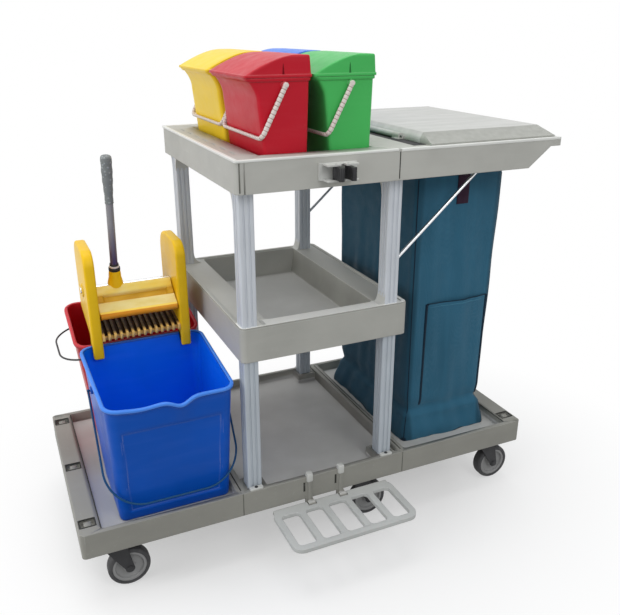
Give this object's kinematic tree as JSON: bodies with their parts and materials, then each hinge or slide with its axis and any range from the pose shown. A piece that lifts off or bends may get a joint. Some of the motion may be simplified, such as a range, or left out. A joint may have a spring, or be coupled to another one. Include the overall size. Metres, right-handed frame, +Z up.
{
  "type": "janitor cart",
  "caption": "Wheeled janitor cart with shelves on fluted posts, mop buckets with a lever press wringer, lidded pails, a cloth bag under a hinged lid and a folding foot grid.",
  "frame": {"origin": "middle of the cart's footprint, on the floor", "axes": "+X to the right along the cart as seen from its front, towards the bag; +Y to the rear; +Z up"},
  "size_m": [1.204, 0.751, 1.179],
  "materials": {
    "frame_plastic": "moulded, satin",
    "pale_plastic": "moulded, fine texture",
    "post_metal": "drawn, satin",
    "bright_steel": "plated, bright",
    "bag_cloth": "coated woven cloth",
    "strap_cloth": "webbing",
    "black_metal": "black, satin",
    "black_plastic": "moulded",
    "tread_rubber": "matt",
    "bucket_blue": "moulded, gloss",
    "bucket_red": "moulded, gloss",
    "wringer_yellow": "moulded, gloss",
    "tube_paint": "grey, satin",
    "grip_rubber": "dotted grip",
    "white_plastic": "moulded",
    "pail_red": "moulded, gloss",
    "pail_green": "moulded, gloss",
    "pail_yellow": "moulded, gloss",
    "pail_blue": "moulded, gloss"
  },
  "bodies": {
    "cart": {"left_platform": "frame_plastic", "middle_deck": "frame_plastic", "right_platform": "frame_plastic", "lower_posts": "post_metal", "upper_posts": "post_metal", "post_screws": "black_metal", "middle_shelf": "frame_plastic", "top_shelf": "frame_plastic", "bag_frame": "frame_plastic", "front_brace": "bright_steel", "rear_brace": "bright_steel", "bag": "bag_cloth", "bag_straps": "strap_cloth", "lid_hinge_pin": "bright_steel", "grid_hinge_pins": "bright_steel", "clip_bracket": "pale_plastic", "caster_plates": "black_metal"},
    "bag_lid": {"bag_lid": "pale_plastic"},
    "foot_grid": {"foot_grid": "pale_plastic"},
    "clip_jaw_left": {"clip_jaw_left": "black_plastic"},
    "clip_jaw_right": {"clip_jaw_right": "black_plastic"},
    "blue_bucket": {"blue_bucket": "bucket_blue"},
    "blue_bail": {"blue_bail": "bucket_blue"},
    "wringer": {"wringer_frame": "wringer_yellow", "wringer_grate": "wringer_yellow"},
    "press": {"press_plate": "wringer_yellow", "press_shaft": "bright_steel", "lever_tube": "tube_paint", "lever_ferrule": "white_plastic", "lever_grip": "grip_rubber"},
    "red_bucket": {"red_bucket": "bucket_red"},
    "red_bail": {"red_bail": "bright_steel"},
    "red_pail": {"red_pail": "pail_red"},
    "red_pail_lid": {"red_pail_lid": "pail_red"},
    "red_pail_bail": {"red_pail_bail": "white_plastic"},
    "green_pail": {"green_pail": "pail_green"},
    "green_pail_lid": {"green_pail_lid": "pail_green"},
    "green_pail_bail": {"green_pail_bail": "white_plastic"},
    "yellow_pail": {"yellow_pail": "pail_yellow"},
    "yellow_pail_lid": {"yellow_pail_lid": "pail_yellow"},
    "yellow_pail_bail": {"yellow_pail_bail": "white_plastic"},
    "blue_pail": {"blue_pail": "pail_blue"},
    "blue_pail_lid": {"blue_pail_lid": "pail_blue"},
    "blue_pail_bail": {"blue_pail_bail": "white_plastic"},
    "caster_fork_front_right": {"caster_fork_front_right": "black_metal"},
    "caster_wheel_front_right": {"caster_wheel_front_right": "tread_rubber"},
    "brake_pedal_front": {"brake_pedal_front": "black_plastic"},
    "caster_fork_rear_right": {"caster_fork_rear_right": "black_metal"},
    "caster_wheel_rear_right": {"caster_wheel_rear_right": "tread_rubber"},
    "brake_pedal_rear": {"brake_pedal_rear": "black_plastic"},
    "caster_fork_front_left": {"caster_fork_front_left": "black_metal"},
    "caster_wheel_front_left": {"caster_wheel_front_left": "tread_rubber"},
    "caster_fork_rear_left": {"caster_fork_rear_left": "black_metal"},
    "caster_wheel_rear_left": {"caster_wheel_rear_left": "tread_rubber"},
    "caster_fork_front_middle": {"caster_fork_front_middle": "black_metal"},
    "caster_wheel_front_middle": {"caster_wheel_front_middle": "tread_rubber"},
    "caster_fork_rear_middle": {"caster_fork_rear_middle": "black_metal"},
    "caster_wheel_rear_middle": {"caster_wheel_rear_middle": "tread_rubber"}
  },
  "joints": [
    {"name": "lid_hinge", "type": "hinge", "parent": "cart", "child": "bag_lid", "pos_m": [0.23, 0.0755, 0.994], "axis": [0, -1, 0], "range_deg": [0, 100]},
    {"name": "grid_fold", "type": "hinge", "parent": "cart", "child": "foot_grid", "pos_m": [0.013, -0.2235, 0.129], "axis": [-1, 0, 0], "range_deg": [0, 90]},
    {"name": "press_lever", "type": "hinge", "parent": "wringer", "child": "press", "pos_m": [-0.375, 0.1625, 0.632], "axis": [1, 0, 0], "range_deg": [0, 28], "stiffness_Nm_per_rad": 8, "springref_deg": -11.46},
    {"name": "clip_left", "type": "hinge", "parent": "cart", "child": "clip_jaw_left", "pos_m": [-0.012, -0.2475, 0.952], "axis": [0, 0, -1], "range_deg": [0, 25], "stiffness_Nm_per_rad": 0.3, "springref_deg": -11.46},
    {"name": "clip_right", "type": "hinge", "parent": "cart", "child": "clip_jaw_right", "pos_m": [0.016, -0.2475, 0.952], "axis": [0, 0, 1], "range_deg": [0, 25], "stiffness_Nm_per_rad": 0.3, "springref_deg": -11.46},
    {"name": "blue_bucket_lift", "type": "slide", "parent": "cart", "child": "blue_bucket", "axis": [0, 0, 1], "range_m": [0, 0.17]},
    {"name": "wringer_lift", "type": "slide", "parent": "blue_bucket", "child": "wringer", "axis": [0, 0, 1], "range_m": [0, 0.25]},
    {"name": "blue_bail_swing", "type": "hinge", "parent": "blue_bucket", "child": "blue_bail", "pos_m": [-0.375, -0.0445, 0.463], "axis": [-1, 0, 0], "range_deg": [0, 140]},
    {"name": "red_bucket_lift", "type": "slide", "parent": "cart", "child": "red_bucket", "axis": [0, 0, 1], "range_m": [0, 0.015]},
    {"name": "red_bail_swing", "type": "hinge", "parent": "red_bucket", "child": "red_bail", "pos_m": [-0.375, 0.2365, 0.485], "axis": [0, 1, 0], "range_deg": [0, 6]},
    {"name": "red_pail_lift", "type": "slide", "parent": "cart", "child": "red_pail", "axis": [0, 0, 1], "range_m": [0, 0.12]},
    {"name": "red_pail_lid_lift", "type": "slide", "parent": "red_pail", "child": "red_pail_lid", "axis": [0, 0, 1], "range_m": [0, 0.08]},
    {"name": "red_pail_bail_swing", "type": "hinge", "parent": "red_pail", "child": "red_pail_bail", "pos_m": [-0.093, -0.0555, 1.122], "axis": [0, 1, 0], "range_deg": [0, 100]},
    {"name": "green_pail_lift", "type": "slide", "parent": "cart", "child": "green_pail", "axis": [0, 0, 1], "range_m": [0, 0.12]},
    {"name": "green_pail_lid_lift", "type": "slide", "parent": "green_pail", "child": "green_pail_lid", "axis": [0, 0, 1], "range_m": [0, 0.08]},
    {"name": "green_pail_bail_swing", "type": "hinge", "parent": "green_pail", "child": "green_pail_bail", "pos_m": [0.057, -0.0555, 1.122], "axis": [0, 1, 0], "range_deg": [0, 18]},
    {"name": "yellow_pail_lift", "type": "slide", "parent": "cart", "child": "yellow_pail", "axis": [0, 0, 1], "range_m": [0, 0.12]},
    {"name": "yellow_pail_lid_lift", "type": "slide", "parent": "yellow_pail", "child": "yellow_pail_lid", "axis": [0, 0, 1], "range_m": [0, 0.08]},
    {"name": "yellow_pail_bail_swing", "type": "hinge", "parent": "yellow_pail", "child": "yellow_pail_bail", "pos_m": [-0.093, 0.2065, 1.122], "axis": [0, 1, 0], "range_deg": [0, 100]},
    {"name": "blue_pail_lift", "type": "slide", "parent": "cart", "child": "blue_pail", "axis": [0, 0, 1], "range_m": [0, 0.12]},
    {"name": "blue_pail_lid_lift", "type": "slide", "parent": "blue_pail", "child": "blue_pail_lid", "axis": [0, 0, 1], "range_m": [0, 0.08]},
    {"name": "blue_pail_bail_swing", "type": "hinge", "parent": "blue_pail", "child": "blue_pail_bail", "pos_m": [0.057, 0.2065, 1.122], "axis": [0, 1, 0], "range_deg": [0, 18]},
    {"name": "swivel_front_right", "type": "hinge", "parent": "cart", "child": "caster_fork_front_right", "pos_m": [0.522, -0.1545, 0.13], "axis": [0, 0, 1], "continuous": true},
    {"name": "roll_front_right", "type": "hinge", "parent": "caster_fork_front_right", "child": "caster_wheel_front_right", "pos_m": [0.55, -0.1545, 0.05], "axis": [0, 1, 0], "continuous": true},
    {"name": "brake_front", "type": "hinge", "parent": "caster_fork_front_right", "child": "brake_pedal_front", "pos_m": [0.54, -0.1545, 0.1147], "axis": [0, 1, 0], "range_deg": [0, 12]},
    {"name": "swivel_rear_right", "type": "hinge", "parent": "cart", "child": "caster_fork_rear_right", "pos_m": [0.522, 0.3055, 0.13], "axis": [0, 0, 1], "continuous": true},
    {"name": "roll_rear_right", "type": "hinge", "parent": "caster_fork_rear_right", "child": "caster_wheel_rear_right", "pos_m": [0.55, 0.3055, 0.05], "axis": [0, 1, 0], "continuous": true},
    {"name": "brake_rear", "type": "hinge", "parent": "caster_fork_rear_right", "child": "brake_pedal_rear", "pos_m": [0.54, 0.3055, 0.1147], "axis": [0, 1, 0], "range_deg": [0, 12]},
    {"name": "swivel_front_left", "type": "hinge", "parent": "cart", "child": "caster_fork_front_left", "pos_m": [-0.527, -0.1545, 0.13], "axis": [0, 0, 1], "continuous": true},
    {"name": "roll_front_left", "type": "hinge", "parent": "caster_fork_front_left", "child": "caster_wheel_front_left", "pos_m": [-0.499, -0.1545, 0.05], "axis": [0, 1, 0], "continuous": true},
    {"name": "swivel_rear_left", "type": "hinge", "parent": "cart", "child": "caster_fork_rear_left", "pos_m": [-0.527, 0.3055, 0.13], "axis": [0, 0, 1], "continuous": true},
    {"name": "roll_rear_left", "type": "hinge", "parent": "caster_fork_rear_left", "child": "caster_wheel_rear_left", "pos_m": [-0.499, 0.3055, 0.05], "axis": [0, 1, 0], "continuous": true},
    {"name": "swivel_front_middle", "type": "hinge", "parent": "cart", "child": "caster_fork_front_middle", "pos_m": [0.111, -0.1545, 0.13], "axis": [0, 0, 1], "continuous": true},
    {"name": "roll_front_middle", "type": "hinge", "parent": "caster_fork_front_middle", "child": "caster_wheel_front_middle", "pos_m": [0.139, -0.1545, 0.05], "axis": [0, 1, 0], "continuous": true},
    {"name": "swivel_rear_middle", "type": "hinge", "parent": "cart", "child": "caster_fork_rear_middle", "pos_m": [0.111, 0.3055, 0.13], "axis": [0, 0, 1], "continuous": true},
    {"name": "roll_rear_middle", "type": "hinge", "parent": "caster_fork_rear_middle", "child": "caster_wheel_rear_middle", "pos_m": [0.139, 0.3055, 0.05], "axis": [0, 1, 0], "continuous": true}
  ],
  "couplings": [
    {"joint": "clip_right", "follows": "clip_left", "ratio": 1}
  ]
}
